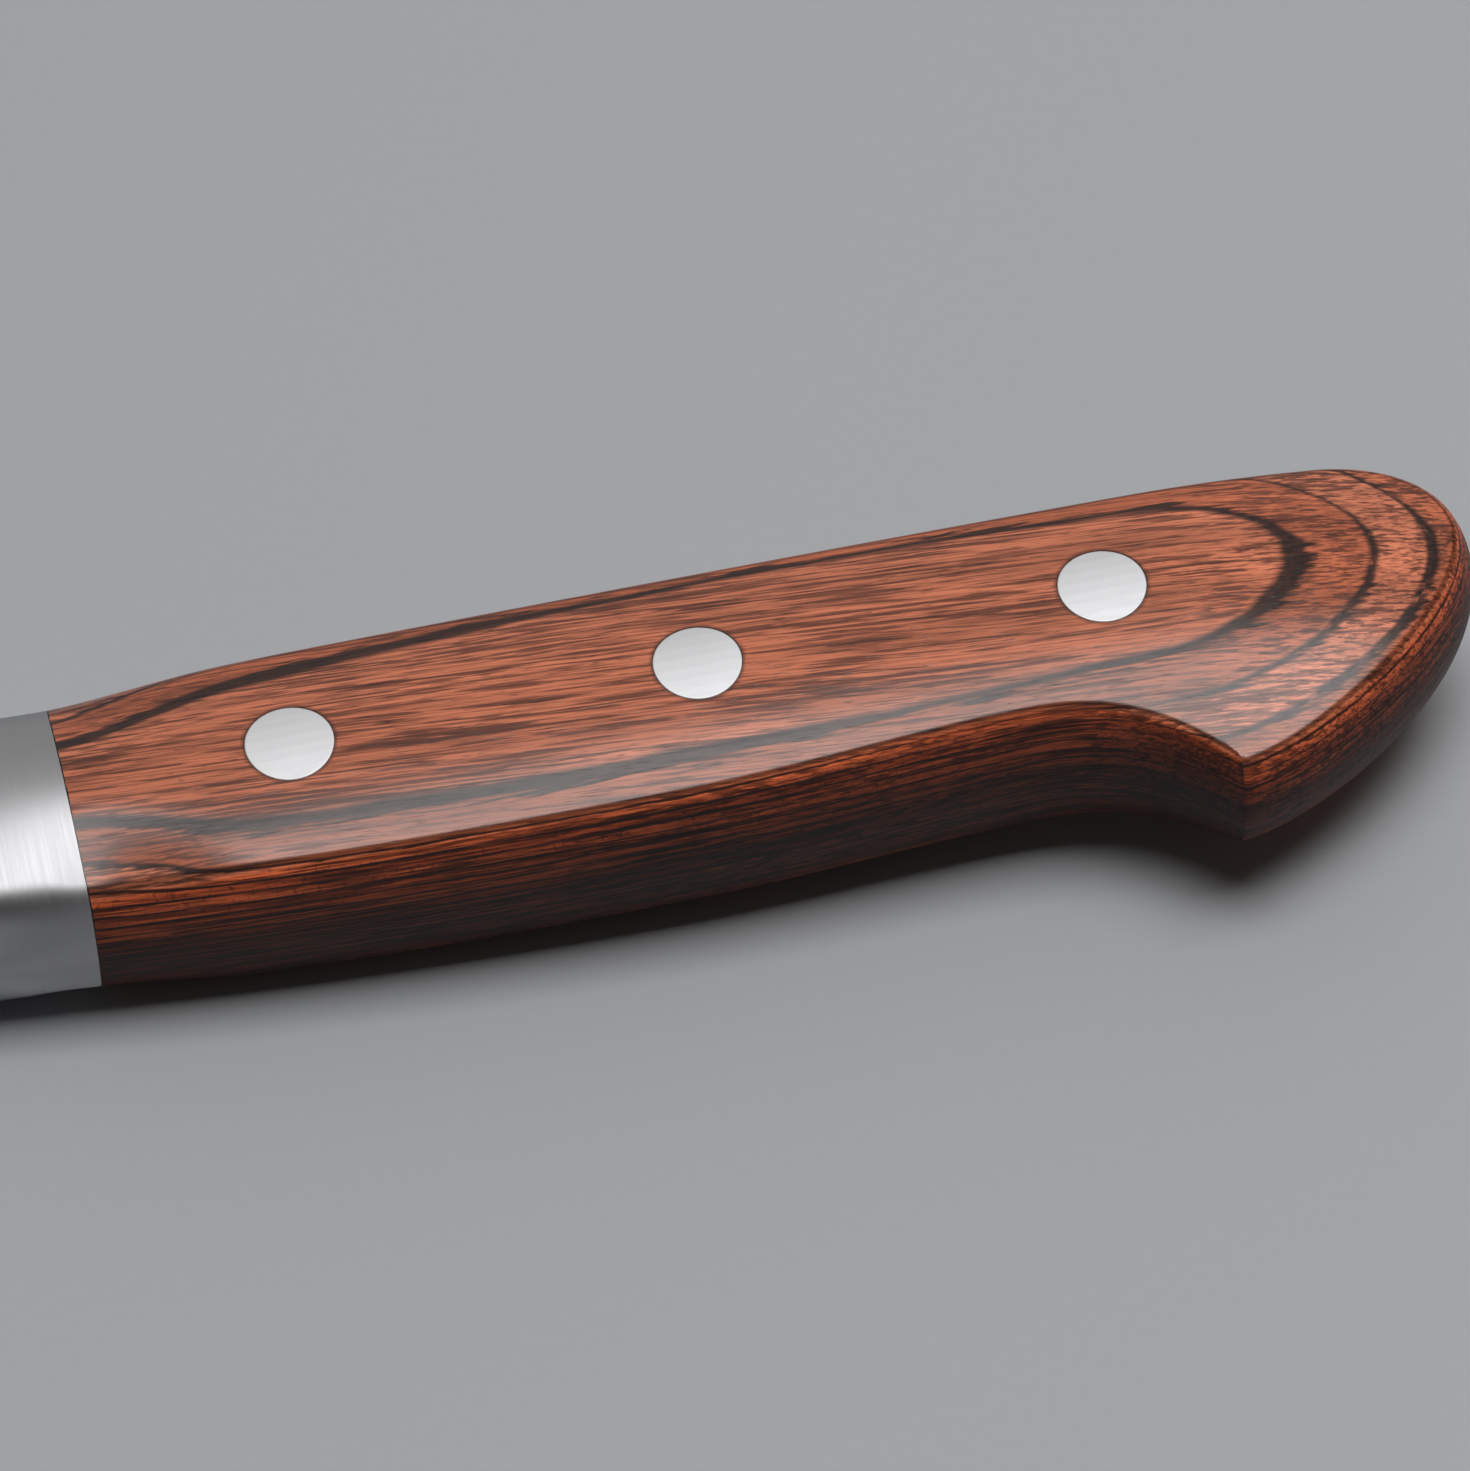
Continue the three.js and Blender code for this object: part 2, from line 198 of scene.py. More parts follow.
grip = {
    "length": 112, "thickness": 17.2,
    "bolsterLength": 19, "bolsterShoulder": 8, "bolsterLip": 0.5, "neckBelly": 8.8,
    "spineFront": 11.35, "spineRear": 10.55,
    "buttShoulder": 10.1, "buttCentre": 1.8,
    "beakSetback": 23.3, "beakDepth": 18.5, "beakRadius": 0.4, "beakFlat": (0.42, 0.58),
    "grooveReach": 14.5, "grooveDepth": 11.1,
    "bellyReach": 29, "bellyDepth": 12.4, "jointBelly": 10.5,
    "lengthCrown": 2700, "buttCrown": 116, "buttCrownStart": 26,
    "crownAxis": 0.7, "crownSlope": 0.28, "crownWidth": 7.8,
    "jointSlope": 0.39, "bolsterSlope": 0.3, "jointWidth": 5, "jointRun": 14,
    "wallBulge": 1.3, "edgeRadius": 0.8, "buttEdgeRadius": 0.7,
    "jointBellyRadius": 1.2, "jointSpineRadius": 2, "jointEdgeRun": 20, "lipRadius": 0.3,
    "bolsterBellyRadius": 1.8, "bolsterEdgeRun": 4,
    "bladeHalf": 0.9, "jointGap": 0.02,
    "pull": {  # handles of the outline's curves, as shares of the lengths that they span
        "jointOut": 0.3, "bellyIn": 0.38, "bellyOut": 0.4, "grooveIn": 0.3, "grooveOut": 0.45,
        "beakIn": 0.29, "beakHook": 0.6, "beakOut": 0.3, "beakLift": 0.035,
        "buttIn": 0.5, "buttOut": 0.5, "shoulderIn": 0.66, "shoulderDrop": 0.05,
    },
    "steps": {  # points along the outline, and up the wall and its rounded edge
        "bolster": 42, "belly": 90, "groove": 60, "beak": 48, "butt": 84, "shoulder": 48, "spine": 200,
        "lip": 30, "wall": 7, "round": 8,
    },
    "leastLean": 0.5, "faceNet": 1.0, "sharpAngle": 32,
}
rivet = {
    "head": 7.0, "depth": 2.6, "clearance": 0.03, "bore": 5.0,
    "front": 17.55, "rear": 30.15,  # from the joint and from the butt
    "rim": 0.1, "sides": 96, "rings": 26, "rimGather": 1.6,
    "rayUp": 50, "rayLength": 100, "sharpAngle": 40,
}
rearRivetX = grip["length"] - rivet["rear"]
rivetPlaces = [rivet["front"], (rivet["front"] + grip["length"] - rivet["rear"]) / 2, rearRivetX]
neckX = -grip["bolsterLength"]
shoulderX = grip["length"] - grip["buttShoulder"]
beakX = grip["length"] - grip["beakSetback"]
grooveX = beakX - grip["grooveReach"]
bellyX = grooveX - grip["bellyReach"]


def spineY(x):
    return lerp(grip["spineFront"], grip["spineRear"], x / shoulderX)


def bolsterBellyY(x):
    return lerp(-grip["jointBelly"], -grip["neckBelly"], x / neckX)


# Height of the left face over the middle plane
def faceHeight(x, y):
    joint = 1 - smooth(x, 0, grip["jointRun"])
    slope = lerp(grip["crownSlope"], grip["jointSlope"], joint)
    slope = lerp(slope, grip["bolsterSlope"], smooth(-x, 0, grip["bolsterShoulder"]))
    width = lerp(grip["crownWidth"], grip["jointWidth"], joint)
    buttRun = max(0, x - grip["length"] + grip["buttCrownStart"])
    ridge = grip["thickness"] / 2 - (x - rivetPlaces[1]) ** 2 / (2 * grip["lengthCrown"])
    ridge -= buttRun ** 2 / (2 * grip["buttCrown"])
    full = ridge - slope * (math.hypot(width, y - grip["crownAxis"]) - width)
    lip = grip["bladeHalf"] + grip["bolsterLip"]
    return lerp(lip, full, smoother(x, neckX, -grip["bolsterShoulder"]))


# Once round: along the belly, round the butt and back along the spine
def gripOutline():
    pull, steps = grip["pull"], grip["steps"]
    joint, belly = (0, -grip["jointBelly"]), (bellyX, -grip["bellyDepth"])
    groove, beak = (grooveX, -grip["grooveDepth"]), (beakX, -grip["beakDepth"])
    butt, shoulder = (grip["length"], grip["buttCentre"]), (shoulderX, grip["spineRear"])
    spineJoint, spineNeck = (0, grip["spineFront"]), (neckX, spineY(neckX))
    lead = bellyX * pull["jointOut"]
    fall = (grip["neckBelly"] - grip["jointBelly"]) / grip["bolsterLength"]
    reach, hollow = grip["bellyReach"], grip["grooveReach"]
    hook = (grip["grooveDepth"] - grip["beakDepth"]) * pull["beakHook"]
    rise = grip["spineRear"] - grip["buttCentre"]
    along = straight((neckX, bolsterBellyY(neckX)), joint, steps["bolster"])
    along += curve(joint, (lead, lead * fall), (bellyX * pull["bellyIn"], 0), belly, steps["belly"])
    along += curve(belly, (reach * pull["bellyOut"], 0), (reach * pull["grooveIn"], 0),
                   groove, steps["groove"])
    along += curve(groove, (hollow * pull["grooveOut"], 0), (hollow * pull["beakIn"], hook),
                   beak, steps["beak"])
    leave = (grip["beakSetback"] * pull["beakOut"], grip["beakDepth"] * pull["beakLift"])
    lowButt = curve(beak, leave, (0, grip["beakDepth"] * pull["buttIn"]), butt, steps["butt"])
    arrive = (-grip["buttShoulder"] * pull["shoulderIn"], rise * pull["shoulderDrop"])
    highButt = curve(butt, (0, rise * pull["buttOut"]), arrive, shoulder, steps["shoulder"])
    back = straight(shoulder, spineJoint, steps["spine"]) + straight(spineJoint, spineNeck, steps["bolster"])
    tip = Vector(beak)  # the beak's point is eased to a narrow flat
    before = [p for p in along if (p - tip).length > grip["beakRadius"]]
    after = [p for p in lowButt if (p - tip).length > grip["beakRadius"]]
    eased = [bend(before[-1], tip, after[0], t) for t in grip["beakFlat"]]
    return before + eased + after + highButt + back + [Vector(spineNeck)]


# Profile of the left half at one outline point: middle plane, bulged wall, rounded edge
def gripProfile(point, inward, lean, bulge, radius):
    def at(inset, z):
        return (point.x + inward.x * inset, point.y + inward.y * inset, z)

    def top(inset):
        x, y, _ = at(inset, 0)
        return Vector((x, y, faceHeight(x, y)))

    corner = top(bulge / lean)
    radius = min(radius, corner.z / 2)
    wallTop = corner.z - radius
    wallSteps, roundSteps = grip["steps"]["wall"], grip["steps"]["round"]
    heights = [wallTop * i / wallSteps for i in range(wallSteps + 1)]
    wall = [Vector(at(bulge / lean * (z / corner.z) ** 2, z)) for z in heights]
    faceStart = top(bulge / lean + radius / lean)
    return wall + [bend(wall[-1], corner, faceStart, (i + 1) / roundSteps) for i in range(roundSteps)]


def gripProfiles():
    outline = gripOutline()
    profiles = []
    for i, point in enumerate(outline):
        before, after = outline[max(i - 1, 0)], outline[min(i + 1, len(outline) - 1)]
        along = (after - before).normalized()
        inward = (Vector((min(point.x, shoulderX), grip["crownAxis"])) - point).normalized()
        lean = max(abs(along.cross(inward)), grip["leastLean"])
        rounder = grip["jointSpineRadius"]
        if point.y < grip["crownAxis"]:
            share = smooth(-point.x, 0, grip["bolsterEdgeRun"])
            rounder = lerp(grip["jointBellyRadius"], grip["bolsterBellyRadius"], share)
        radius = lerp(rounder, grip["edgeRadius"], smooth(point.x, 0, grip["jointEdgeRun"]))
        radius = lerp(radius, grip["buttEdgeRadius"], smooth(point.x, bellyX, beakX))
        profiles.append(gripProfile(point, inward, lean, grip["wallBulge"], radius))
    frontTop, frontLow = profiles[-1][-1].y, profiles[0][-1].y  # the lip at the bolster's front
    lipSteps = grip["steps"]["lip"]
    for i in range(1, lipSteps):
        point = Vector((neckX, lerp(frontTop, frontLow, i / lipSteps)))
        profiles.append(gripProfile(point, Vector((1, 0)), 1, 0, grip["lipRadius"]))
    return profiles


def buildGrip():
    profiles = gripProfiles()
    upper = [[p[k] for p in profiles] for k in range(len(profiles[0]))]
    lower = [[Vector((p.x, p.y, -p.z)) for p in ring] for ring in upper[:0:-1]]

    def underside(x, y):
        return -faceHeight(x, y)

    mesh = closedMesh("gripForm", lower + upper, grip["faceNet"], (), underside, faceHeight)
    return addObject("gripForm", mesh)


# One side of a plane across the knife, closed again
def cutAcross(source, name, x, keepButt):
    bm = bmesh.new()
    bm.from_mesh(source.data)
    bmesh.ops.bisect_plane(
        bm, geom=bm.verts[:] + bm.edges[:] + bm.faces[:], dist=1e-8,
        plane_co=toFrame(x, 0, 0), plane_no=(1, 0, 0),
        clear_inner=keepButt, clear_outer=not keepButt,
    )
    cap = bmesh.ops.holes_fill(bm, edges=[e for e in bm.edges if e.is_boundary], sides=0)["faces"]
    bmesh.ops.triangulate(bm, faces=cap)
    bmesh.ops.recalc_face_normals(bm, faces=bm.faces[:])
    mesh = bpy.data.meshes.new(name)
    bm.to_mesh(mesh)
    bm.free()
    return addObject(name, mesh)


tang = {
    "depth": 6.0, "endMargin": 9.0, "endRadius": 2.5, "recess": 0.06,
    "slotClearance": 0.1, "slotFront": -1, "slotTop": 30,  # the slot runs out past joint and spine
    "sideSteps": 40, "cornerSteps": 8,
}
tangEndX = rearRivetX + tang["endMargin"]


# Round body about a rivet's axis from its radius and height at each step
def turned(name, x, steps):
    count = rivet["sides"]
    angles = [math.tau * i / count for i in range(count)]
    points = [(x + r * math.cos(a), r * math.sin(a), z) for r, z in steps for a in angles]
    faces = ringWalls(len(steps), count)
    faces += [list(range(count))[::-1], [len(points) - count + i for i in range(count)]]
    return addObject(name, meshFrom(name, points, faces))


def buildHandle(gripForm):
    handle = cutAcross(gripForm, "handleWood", grip["jointGap"], True)
    half = grip["bladeHalf"] + tang["slotClearance"]
    low, far = -tang["depth"] - tang["slotClearance"], tangEndX + tang["slotClearance"]
    spans = (tang["slotFront"], far), (low, tang["slotTop"]), (-half, half)
    corners = [(x, y, z) for x in spans[0] for y in spans[1] for z in spans[2]]
    sides = [(0, 1, 3, 2), (4, 6, 7, 5), (0, 4, 5, 1), (2, 3, 7, 6), (0, 2, 6, 4), (1, 5, 7, 3)]
    subtract(handle, addObject("slot", meshFrom("slot", corners, sides)))
    for x in rivetPlaces:
        seat, out = faceHeight(x, 0) - rivet["depth"], grip["thickness"]
        wide, narrow = rivet["head"] / 2 + rivet["clearance"], rivet["bore"] / 2
        steps = [(wide, -out), (wide, -seat), (narrow, -seat), (narrow, seat), (wide, seat), (wide, out)]
        subtract(handle, turned("seat", x, steps))
    smoothShade(handle.data, grip["sharpAngle"])
    return handle


gripForm = buildGrip()
handleWood = buildHandle(gripForm)
bolster = cutAcross(gripForm, "bolster", 0, False)
smoothShade(bolster.data, grip["sharpAngle"])
print("grip, handle, bolster", [len(o.data.polygons) for o in (gripForm, handleWood, bolster)])


# Blade: three layers of one blank that runs back as the tang

blade = {
    "length": 165, "height": 48,
    "grindHeight": 20, "grindHalf": 0.16, "sharpHeight": 0.8, "edgeHalf": 0.03,
    "edgeRise": 1.8, "edgeRiseRun": 48, "frontRadius": 13, "heelRadius": 1.2,
    "neckLength": 7, "choilRadius": 5,
    "coreHeight": 4.4, "coreWave": 0.55,  # where the core comes out of the cladding, over the edge
    "coreWaves": [(0.5, 0.11, 1), (0.32, 0.27, 0), (0.18, 0.63, 2)],  # share, turn per mm, start
    "ease": 0.22, "easeShare": 0.45, "easeSteps": 4, "easeStrip": 0.08, "leastTurn": 0.5,
    "softLine": 0.35, "sharpSoft": 0.1, "bolsterInset": 0.15, "clear": 1, "net": 2.4, "sharpAngle": 32,
    "steps": {
        "edge": 160, "heel": 4, "heelSide": 16, "skinSide": 14, "choil": 16,
        "spine": 70, "frontCorner": 28, "front": 16, "lines": 60,
    },
}
heelX = neckX - blade["neckLength"]
frontX = heelX - blade["length"]
bladeSpine = spineY(neckX)
edgeY = bladeSpine - blade["height"]
choilY = bolsterBellyY(neckX) - blade["choilRadius"]


def edgeAt(x):
    share = max(0, (frontX + blade["edgeRiseRun"] - x) / blade["edgeRiseRun"])
    return edgeY + blade["edgeRise"] * share ** 2


# Half thickness by height over the edge: last bevel, long bevel, flat
def halfThickness(h):
    sharp, top, soft = blade["sharpHeight"], blade["grindHeight"], blade["softLine"]
    if h < sharp:
        return lerp(blade["edgeHalf"], blade["grindHalf"], max(h, 0) / sharp)
    rate = (grip["bladeHalf"] - blade["grindHalf"]) / (top - sharp)
    run = min(max(h - top + soft, 0), 2 * soft)  # the line between bevel and flat is a little soft
    return blade["grindHalf"] + rate * (min(h, top - soft) - sharp + run - run ** 2 / (4 * soft))


def coreLine(x):
    wave = sum(share * math.sin(rate * x + start) for share, rate, start in blade["coreWaves"])
    return blade["coreHeight"] + blade["coreWave"] * wave


def coreHalf(x, y):
    return min(halfThickness(coreLine(x)), halfThickness(y - edgeAt(x)))


def coreUnder(x, y):
    return -coreHalf(x, y)


def skinHalf(x, y):
    return max(halfThickness(y - edgeAt(x)), coreHalf(x, y))


# Plan of the blank, anticlockwise; lower is its bottom edge from front to heel
def blankPlan(lower):
    steps, choil, front = blade["steps"], blade["choilRadius"], blade["frontRadius"]
    inset, recess = blade["bolsterInset"], tang["recess"]
    hide = neckX + 2 * inset  # from here on inside the bolster
    soft, low, rear = tang["endRadius"], -tang["depth"], tangEndX - tang["endRadius"]
    belly = [(neckX, bolsterBellyY(neckX))] + [(x, bolsterBellyY(x) + inset) for x in (hide, 0)]
    spine = [(x, spineY(x) - inset) for x in (0, hide)] + [(neckX, bladeSpine)]
    plan = lower + arc((heelX + choil, choilY), choil, 180, 90, steps["choil"])
    plan += [Vector(p) for p in belly]
    plan += straight((0, low), (rear, low), tang["sideSteps"])
    plan += arc((rear, low + soft), soft, -90, 0, tang["cornerSteps"])
    plan += arc((rear, spineY(tangEndX) - recess - soft), soft, 0, 90, tang["cornerSteps"])
    plan += straight((rear, spineY(rear) - recess), (0, spineY(0) - recess), tang["sideSteps"])[1:]
    plan += [Vector(p) for p in spine]
    plan += straight((neckX - blade["clear"], bladeSpine), (frontX + front, bladeSpine), steps["spine"])
    plan += arc((frontX + front, bladeSpine - front), front, 90, 180, steps["frontCorner"])
    return plan + straight((frontX, bladeSpine - front), (frontX, lower[0].y), steps["front"])[1:]


# Rings up a plate's wall; its upper edge is eased where the plate is thick enough
def plateRings(plan, bottom, top):
    rings = [[(p.x, p.y, bottom(p.x, p.y)) for p in plan]]
    angles = [math.pi / 2 * i / blade["easeSteps"] for i in range(blade["easeSteps"] + 1)]
    strips = [(angle, 0) for angle in angles] + [(math.pi / 2, blade["easeStrip"])]
    for angle, strip in strips:
        ring = []
        for i, p in enumerate(plan):
            ahead, behind = (plan[(i + 1) % len(plan)] - p).normalized(), (p - plan[i - 1]).normalized()
            along = (ahead + behind).normalized()
            thick = top(p.x, p.y) - bottom(p.x, p.y)
            ease = min(blade["ease"], thick * blade["easeShare"])
            into = ease * (1 - math.cos(angle)) + strip
            inset = Vector((-along.y, along.x)) * into / max(along.dot(ahead), blade["leastTurn"])
            spot = p + inset
            ring.append((spot.x, spot.y, top(spot.x, spot.y) - ease * (1 - math.sin(angle))))
        rings.append(ring)
    return rings


def plate(name, plan, lines, bottom, top):
    mesh = closedMesh(name, plateRings(plan, bottom, top), blade["net"], lines, bottom, top)
    bm = bmesh.new()
    bm.from_mesh(mesh)
    bmesh.ops.remove_doubles(bm, verts=bm.verts[:], dist=1e-7)
    bmesh.ops.dissolve_degenerate(bm, edges=bm.edges[:], dist=1e-7)
    bmesh.ops.recalc_face_normals(bm, faces=bm.faces[:])
    bm.to_mesh(mesh)
    bm.free()
    smoothShade(mesh, blade["sharpAngle"])
    return addObject(name, mesh)


# Line along the blade at one height over the edge, clear of its ends
def alongBlade(height):
    steps, start, end = blade["steps"]["lines"], frontX + blade["clear"], heelX - blade["clear"]
    xs = [lerp(start, end, i / steps) for i in range(steps + 1)]
    return [(x, edgeAt(x) + height) for x in xs]


# Copy on the other side of the middle plane
def mirrored(name, source):
    mesh = source.data.copy()
    mesh.name = name
    mesh.transform(Matrix.Translation((0, 0, 2 * datum.z)) @ Matrix.Diagonal((1, 1, -1, 1)))
    mesh.flip_normals()
    return addObject(name, mesh)


def buildBlade():
    steps, heel, soft = blade["steps"], blade["heelRadius"], blade["softLine"]
    xs = [lerp(frontX, heelX, i / steps["edge"]) for i in range(steps["edge"] + 1)]
    heelStart, heelTop = Vector((heelX - heel, edgeY)), Vector((heelX, edgeY + heel))
    heelShares = [i / steps["heel"] for i in range(steps["heel"] + 1)]
    edge = [Vector((x, edgeAt(x))) for x in xs if x < heelX - heel]
    edge += [bend(heelStart, Vector((heelX, edgeY)), heelTop, t) for t in heelShares]
    edge += straight(heelTop, (heelX, choilY), steps["heelSide"])[1:]
    coreLines = [alongBlade(blade["sharpHeight"] + d) for d in (-blade["sharpSoft"], blade["sharpSoft"])]
    coreLines.append([(x, edgeAt(x) + coreLine(x)) for x in xs[2:-2]])
    core = plate("bladeCore", blankPlan(edge), coreLines, coreUnder, coreHalf)
    skin = [Vector((x, edgeAt(x) + coreLine(x))) for x in xs]
    skin += straight(skin[-1], (heelX, choilY), steps["skinSide"])[1:]
    skinLines = [alongBlade(blade["grindHeight"] + d) for d in (-soft, 0, soft)]
    left = plate("bladeLeft", blankPlan(skin), skinLines, coreHalf, skinHalf)
    return core, left, mirrored("bladeRight", left)


bladeCore, bladeLeft, bladeRight = buildBlade()
print("blade", [len(o.data.polygons) for o in (bladeCore, bladeLeft, bladeRight)])


# Node helpers, for shader and geometry trees alike

def give(tree, socket, value):
    if isinstance(value, bpy.types.NodeSocket):
        tree.links.new(value, socket)
    else:
        socket.default_value = value


def put(tree, kind, inputs=None, **settings):
    node = tree.nodes.new(kind)
    for name, value in settings.items():
        setattr(node, name, value)
    for name, value in (inputs or {}).items():
        give(tree, node.inputs[name], value)
    return node


def calc(tree, operation, *values):
    return put(tree, "ShaderNodeMath", dict(enumerate(values)), operation=operation).outputs[0]


def times(tree, value, *factors):
    for factor in factors:
        value = calc(tree, "MULTIPLY", value, factor)
    return value


# Value times gain, plus offset
def scaled(tree, value, gain, offset):
    return calc(tree, "MULTIPLY_ADD", value, gain, offset)


def vector(tree, operation, *values):
    node = put(tree, "ShaderNodeVectorMath", dict(enumerate(values)), operation=operation)
    return node.outputs["Value" if operation in ("LENGTH", "DOT_PRODUCT") else "Vector"]


def parts(tree, source):
    return put(tree, "ShaderNodeSeparateXYZ", {0: source}).outputs[:]


def joined(tree, x, y, z):
    return put(tree, "ShaderNodeCombineXYZ", {0: x, 1: y, 2: z}).outputs[0]


# Smooth step of a value, from 0 at low to 1 at high
def step(tree, value, low, high):
    span = {"Value": value, "From Min": low, "From Max": high}
    return put(tree, "ShaderNodeMapRange", span, interpolation_type="SMOOTHSTEP").outputs[0]


# 1 where a value is past one step and short of another
def between(tree, value, rise, fall):
    return times(tree, step(tree, value, *rise), step(tree, value, *fall))


def mixed(tree, share, a, b, mode="MIX"):
    node = put(tree, "ShaderNodeMix", {0: share, 6: a, 7: b}, data_type="RGBA", blend_type=mode)
    return node.outputs[2]


def shaded(tree, colour, tone):
    return mixed(tree, 1.0, colour, joined(tree, tone, tone, tone), "MULTIPLY")


def newGroup(name, kind, inputs, outputs):
    tree = bpy.data.node_groups.new(name, kind)
    for direction, sockets in (("INPUT", inputs), ("OUTPUT", outputs)):
        for socket, sort in sockets:
            tree.interface.new_socket(name=socket, in_out=direction, socket_type="NodeSocket" + sort)
    return tree, tree.nodes.new("NodeGroupInput").outputs, tree.nodes.new("NodeGroupOutput").inputs


# Stretched marks shared by wood and steel: grain, pores, brush lines
def buildStreaks():
    tree, given, result = newGroup("streaks", "ShaderNodeTree", [
        ("Place", "Vector"), ("Per mm", "Vector"), ("Detail", "Float"), ("Low", "Float"), ("High", "Float"),
    ], [("Mask", "Float"), ("Plain", "Float")])
    place = vector(tree, "MULTIPLY", given["Place"], given["Per mm"])
    noise = put(tree, "ShaderNodeTexNoise", {
        "Vector": place, "Scale": 1.0, "Detail": given["Detail"], "Roughness": 0.6,
    }).outputs[0]
    tree.links.new(step(tree, noise, given["Low"], given["High"]), result["Mask"])
    tree.links.new(noise, result["Plain"])
    return tree


streakGroup = buildStreaks()


def streaks(tree, place, perMm, detail, low=0.4, high=0.6, plain=False):
    node = put(tree, "ShaderNodeGroup", {
        "Place": place, "Per mm": perMm, "Detail": detail, "Low": low, "High": high,
    }, node_tree=streakGroup)
    return node.outputs["Plain" if plain else "Mask"]


# Material with its place in millimetres from the datum
def newMaterial(name):
    material = bpy.data.materials.new(name)
    material.use_nodes = True
    tree = material.node_tree
    spot = put(tree, "ShaderNodeMapping", {
        "Vector": put(tree, "ShaderNodeTexCoord").outputs["Object"],
        "Location": -datum / mm, "Scale": (1 / mm, 1 / mm, 1 / mm),
    }).outputs[0]
    return material, tree, tree.nodes["Principled BSDF"], spot


def feed(tree, shader, **sockets):
    for name, value in sockets.items():
        give(tree, shader.inputs[name.replace("_", " ")], value)


def bumped(tree, height, depth, strength):
    relief = {"Height": height, "Distance": depth * mm, "Strength": strength}
    return put(tree, "ShaderNodeBump", relief).outputs[0]


# Laminated wood: dyed plies, dark glue lines, streaks and pores along the knife

wood = {
    "orange": (0.6, 0.188, 0.1, 1), "red": (0.45, 0.12, 0.055, 1), "streak": (0.08, 0.027, 0.018, 1),
    "pore": (0.03, 0.013, 0.01, 1), "glue": (0.012, 0.01, 0.01, 1), "line": (0.016, 0.006, 0.004, 1),
    "firstLine": 0.95, "ply": 0.9,  # depth of the first glue line under the face, and from line to line
    "lineHalf": 0.06, "firstHalf": 0.085, "lineChance": 0.05, "lineSoft": 0.05,
    "bleed": 0.12, "firstBleed": 0.14, "glueShare": 0.92,
    "slowWarp": 0.12, "nearWarp": 0.1, "plyTilt": 0.013, "plyAxis": 2.5,  # the plies lie a little askew
    "spineThin": ((25, 50), (0, 5)),  # steps of x and y to where the lines are thinner along the spine
    "grooveThin": ((52, 66), (97, 86), (-1, -4)), "thinBy": 0.55,  # and of x and y over the groove
    "grainLean": 0.085, "grainWave": 1.2,  # the grain runs off towards the belly
    "plyShift": (31.0, 5.7), "plyTurn": (2.62, 3.49),  # from ply to ply, and how their tints alternate
    "toneSpan": (0.4, 0.78), "buttPale": (84, 96), "buttGain": 0.22,  # the plies are paler towards the butt
    # where streaks gather or clear: x, y, half length, half width, amount
    "gather": [(60, 1.3, 8, 2.6, 0.14), (72, 2.8, 6, 2, 0.1), (69.5, -2.4, 10, 2, -0.12)],
    "gatherEdge": (1.2, 0.2), "gatherPull": 0.3,
    "boldFrom": 0.71, "boldRise": 0.05, "boldShare": 0.75,
    "thinFrom": 0.62, "thinRise": 0.14, "thinShare": 0.78, "hairShare": 0.4, "poreShare": 0.5,
    "wallLean": (0.8, 0.45),  # upward lean of the surface, from face to wall
    "darkZ": (-0.6, 6.6), "darkShare": 0.24, "wallGain": 1.1,  # painted shade: the walls darken downwards; painted light: their top is lighter near the joint
    "jointGain": 0.9, "jointX": (50, 8), "wallTint": (1.0, 0.62, 0.38, 1),
    "hollowLean": (-0.15, -0.6), "hollowShare": 0.5,  # painted shade: the groove's side of the beak is darker, as are other walls facing the blade
    "rimLean": ((0.7, 0.84), (0.95, 0.9)), "rimShare": 0.5,  # painted shade: a dark line where face and wall meet
    "bandLean": ((0.28, 0.42), (0.84, 0.7)), "bandX": (12, 55),  # lit band under that line
    "bandGain": 0.5, "bandClear": 0.7,
    "lineShare": 0.85, "tickShare": 0.6, "tickZ": (1, 5), "tickX": (75, 60),
    "ring": 0.4, "ringShare": 0.7, "ringWave": 0.5,  # dark ring round the rivets
    "seam": (0.03, -0.04), "seamWave": 0.22,  # glue at the joint
    "rough": 0.18, "boldRough": 0.05, "wallRough": 0.3, "specular": 0.31,
    "poreDepth": 0.6, "glueDepth": 0.25, "relief": 0.01, "reliefShare": 0.5,
}
woodMarks = {  # count per mm along x, y and z, detail, and the noise at which a mark starts and is full
    "slow": ((0.02, 0.08, 0), 1.0),
    "near": ((0.12, 0.7, 0), 2.0),
    "bleed": ((0.13, 1.9, 0), 3.0, 0.46, 0.66),
    "patch": ((0.06, 0.12, 0), 1.0, 0.4, 0.6),
    "bands": ((0.016, 0.3, 0.4), 2.0, 0.3, 0.7),
    "crowd": ((0.03, 0.28, 0.5), 2.0),
    "bold": ((0.08, 2.2, 2.2), 3.0),
    "thin": ((0.11, 3.4, 3.4), 3.0),
    "hair": ((0.15, 5.5, 5.5), 1.0, 0.45, 0.62),
    "pores": ((0.6, 7.0, 6.0), 1.0, 0.62, 0.72),
    "lines": ((0.07, 0.25, 2.6), 4.0, 0.5, 0.6),
    "ticks": ((2.2, 0.8, 1.0), 2.0, 0.56, 0.66),
    "broken": ((0.07, 0.6, 0.6), 3.0, 0.26, 0.48),
}


def whiteNoise(tree, number):
    return put(tree, "ShaderNodeTexWhiteNoise", {"W": number}, noise_dimensions="1D").outputs["Value"]


# Half thickness of the glue lines: the first one is bolder, all are thinner by the spine and the groove
def lineHalf(tree, x, y, nearest, first):
    half = scaled(tree, whiteNoise(tree, nearest), wood["lineChance"], wood["lineHalf"])
    half = scaled(tree, first, wood["firstHalf"] - wood["lineHalf"], half)
    spineX, spineUp = wood["spineThin"]
    rise, fall, grooveUp = wood["grooveThin"]
    fine = times(tree, step(tree, y, *spineUp), step(tree, x, *spineX))
    groove = times(tree, between(tree, x, rise, fall), step(tree, y, *grooveUp))
    fine = calc(tree, "MAXIMUM", fine, groove)
    return scaled(tree, times(tree, half, fine), -wood["thinBy"], half)


